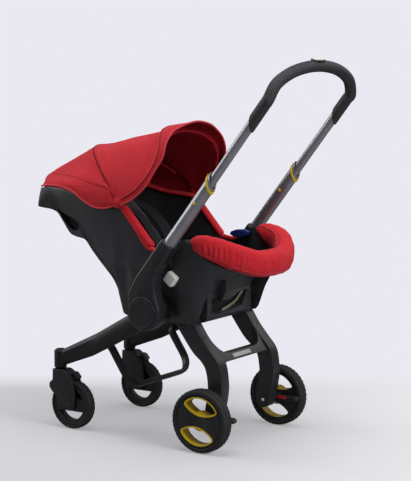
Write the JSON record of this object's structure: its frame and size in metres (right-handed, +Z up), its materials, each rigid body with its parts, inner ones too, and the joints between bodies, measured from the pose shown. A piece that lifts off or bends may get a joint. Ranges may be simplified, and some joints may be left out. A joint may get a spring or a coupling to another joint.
{
  "type": "car seat stroller",
  "caption": "Infant car seat with a folding wheeled undercarriage, telescopic handle, red canopy and padded foot end.",
  "frame": {"origin": "on the floor below the middle of the overall box", "axes": "+X to the stroller's left, +Y towards the person who pushes, +Z up; it rolls forwards along -Y"},
  "size_m": [0.4638, 0.8692, 1.0113],
  "materials": {
    "charcoal_plastic": "fine-grained satin",
    "black_plastic": "satin",
    "black_rubber": "matt",
    "red_fabric": "fine woven melange",
    "dark_fabric": "soft knit",
    "grey_aluminium": "anodised, satin",
    "steel": "brushed",
    "grip_leather": "stitched, satin",
    "yellow_plastic": "smooth",
    "white_plastic": "smooth",
    "blue_plastic": "smooth",
    "red_plastic": "smooth",
    "black_webbing": "woven webbing"
  },
  "bodies": {
    "seat": {"seat_shell": "charcoal_plastic", "back_pad": "dark_fabric", "seat_pad": "dark_fabric", "bumper_cushion": "red_fabric", "rim_trim": "red_fabric", "buckle": "black_plastic", "canopy_rear_panel": "red_fabric", "hub_shaft_left": "steel", "rear_pivot_pin_left": "steel", "shoulder_strap_left": "black_webbing", "belt_guide_left": "blue_plastic", "hub_shaft_right": "steel", "rear_pivot_pin_right": "steel", "shoulder_strap_right": "black_webbing", "belt_guide_right": "blue_plastic"},
    "buckle_button": {"buckle_button": "red_plastic"},
    "fold_lever": {"fold_lever": "black_plastic"},
    "handle": {"handle_arm_left": "charcoal_plastic", "hub_cap_left": "charcoal_plastic", "lower_tube_left": "grey_aluminium", "snap_pin_left": "yellow_plastic", "tube_collar_left": "yellow_plastic", "handle_arm_right": "charcoal_plastic", "hub_cap_right": "charcoal_plastic", "lower_tube_right": "grey_aluminium", "snap_pin_right": "yellow_plastic", "tube_collar_right": "yellow_plastic"},
    "handle_top": {"handle_bar": "grey_aluminium", "handle_grip": "grip_leather"},
    "handle_button": {"handle_button": "white_plastic"},
    "front_frame": {"front_hoop": "black_plastic", "front_leg_left": "black_plastic", "front_leg_right": "black_plastic"},
    "rear_frame": {"rear_frame": "charcoal_plastic", "rear_axle_left": "steel", "rear_axle_right": "steel"},
    "canopy_mid": {"canopy_bow_mid": "steel", "canopy_mid_panel": "red_fabric"},
    "canopy_front": {"canopy_bow_front": "steel", "canopy_front_panel": "red_fabric"},
    "fold_button_left": {"fold_button_left": "white_plastic"},
    "caster_left": {"caster_fork_left": "black_plastic", "caster_axle_left": "steel"},
    "caster_lock_left": {"caster_lock_left": "black_plastic"},
    "caster_wheel_left": {"caster_tyre_left": "black_rubber", "caster_rim_left": "black_plastic"},
    "rear_wheel_left": {"rear_tyre_left": "black_rubber", "rear_rim_left": "black_plastic", "rear_insert_left": "yellow_plastic"},
    "brake_left": {"brake_left": "black_plastic"},
    "fold_button_right": {"fold_button_right": "white_plastic"},
    "caster_right": {"caster_fork_right": "black_plastic", "caster_axle_right": "steel"},
    "caster_lock_right": {"caster_lock_right": "black_plastic"},
    "caster_wheel_right": {"caster_tyre_right": "black_rubber", "caster_rim_right": "black_plastic"},
    "rear_wheel_right": {"rear_tyre_right": "black_rubber", "rear_rim_right": "black_plastic", "rear_insert_right": "yellow_plastic"},
    "brake_right": {"brake_right": "red_plastic"}
  },
  "joints": [
    {"name": "handle_fold", "type": "hinge", "parent": "seat", "child": "handle", "pos_m": [0, 0.0366, 0.355], "axis": [1, 0, 0], "range_deg": [0, 100]},
    {"name": "handle_extend", "type": "slide", "parent": "handle", "child": "handle_top", "axis": [0, 0.6157, 0.788], "range_m": [-0.17, 0]},
    {"name": "handle_button_press", "type": "slide", "parent": "handle_top", "child": "handle_button", "axis": [0, -0.2113, -0.9774], "range_m": [0, 0.003], "stiffness_N_per_m": 500, "springref_m": -0.003},
    {"name": "front_fold", "type": "hinge", "parent": "seat", "child": "front_frame", "pos_m": [0, 0.0366, 0.355], "axis": [-1, 0, 0], "range_deg": [0, 50]},
    {"name": "rear_fold", "type": "hinge", "parent": "seat", "child": "rear_frame", "pos_m": [0, 0.0946, 0.348], "axis": [1, 0, 0], "range_deg": [0, 75]},
    {"name": "canopy_front_fold", "type": "hinge", "parent": "canopy_mid", "child": "canopy_front", "pos_m": [0, -0.0684, 0.637], "axis": [1, 0, 0], "range_deg": [0, 70], "deforming": ["canopy_mid_panel"]},
    {"name": "canopy_mid_fold", "type": "hinge", "parent": "seat", "child": "canopy_mid", "pos_m": [0, -0.0684, 0.637], "axis": [1, 0, 0], "range_deg": [0, 17.5], "deforming": ["canopy_rear_panel"]},
    {"name": "buckle_press", "type": "slide", "parent": "seat", "child": "buckle_button", "axis": [0, -0.2249, -0.9744], "range_m": [0, 0.003], "stiffness_N_per_m": 500, "springref_m": -0.003},
    {"name": "fold_lever_pull", "type": "hinge", "parent": "seat", "child": "fold_lever", "pos_m": [0, -0.32485, 0.57808], "axis": [1, 0, 0], "range_deg": [0, 12], "stiffness_Nm_per_rad": 0.6, "springref_deg": -20.05},
    {"name": "fold_button_press_left", "type": "slide", "parent": "seat", "child": "fold_button_left", "axis": [-1, 0, 0], "range_m": [0, 0.004], "stiffness_N_per_m": 500, "springref_m": -0.003},
    {"name": "caster_swivel_left", "type": "hinge", "parent": "front_frame", "child": "caster_left", "pos_m": [0.16, -0.2864, 0.164], "axis": [0, 0, 1], "continuous": true},
    {"name": "caster_spin_left", "type": "hinge", "parent": "caster_left", "child": "caster_wheel_left", "pos_m": [0.16, -0.2434, 0.067], "axis": [1, 0, 0], "continuous": true},
    {"name": "caster_lock_tip_left", "type": "hinge", "parent": "caster_left", "child": "caster_lock_left", "pos_m": [0.16, -0.2384, 0.154], "axis": [-1, 0, 0], "range_deg": [0, 12]},
    {"name": "rear_wheel_spin_left", "type": "hinge", "parent": "rear_frame", "child": "rear_wheel_left", "pos_m": [0.19, 0.1966, 0.083], "axis": [1, 0, 0], "continuous": true},
    {"name": "brake_tip_left", "type": "hinge", "parent": "rear_frame", "child": "brake_left", "pos_m": [0.19, 0.1966, 0.083], "axis": [-1, 0, 0], "range_deg": [0, 18]},
    {"name": "fold_button_press_right", "type": "slide", "parent": "seat", "child": "fold_button_right", "axis": [1, 0, 0], "range_m": [0, 0.004], "stiffness_N_per_m": 500, "springref_m": -0.003},
    {"name": "caster_swivel_right", "type": "hinge", "parent": "front_frame", "child": "caster_right", "pos_m": [-0.16, -0.2864, 0.164], "axis": [0, 0, 1], "continuous": true},
    {"name": "caster_spin_right", "type": "hinge", "parent": "caster_right", "child": "caster_wheel_right", "pos_m": [-0.16, -0.2434, 0.067], "axis": [1, 0, 0], "continuous": true},
    {"name": "caster_lock_tip_right", "type": "hinge", "parent": "caster_right", "child": "caster_lock_right", "pos_m": [-0.16, -0.2384, 0.154], "axis": [-1, 0, 0], "range_deg": [0, 12]},
    {"name": "rear_wheel_spin_right", "type": "hinge", "parent": "rear_frame", "child": "rear_wheel_right", "pos_m": [-0.19, 0.1966, 0.083], "axis": [1, 0, 0], "continuous": true},
    {"name": "brake_tip_right", "type": "hinge", "parent": "rear_frame", "child": "brake_right", "pos_m": [-0.19, 0.1966, 0.083], "axis": [-1, 0, 0], "range_deg": [0, 18]}
  ],
  "couplings": [
    {"joint": "rear_fold", "follows": "front_fold", "ratio": 1.5},
    {"joint": "canopy_mid_fold", "follows": "canopy_front_fold", "ratio": 0.25}
  ]
}
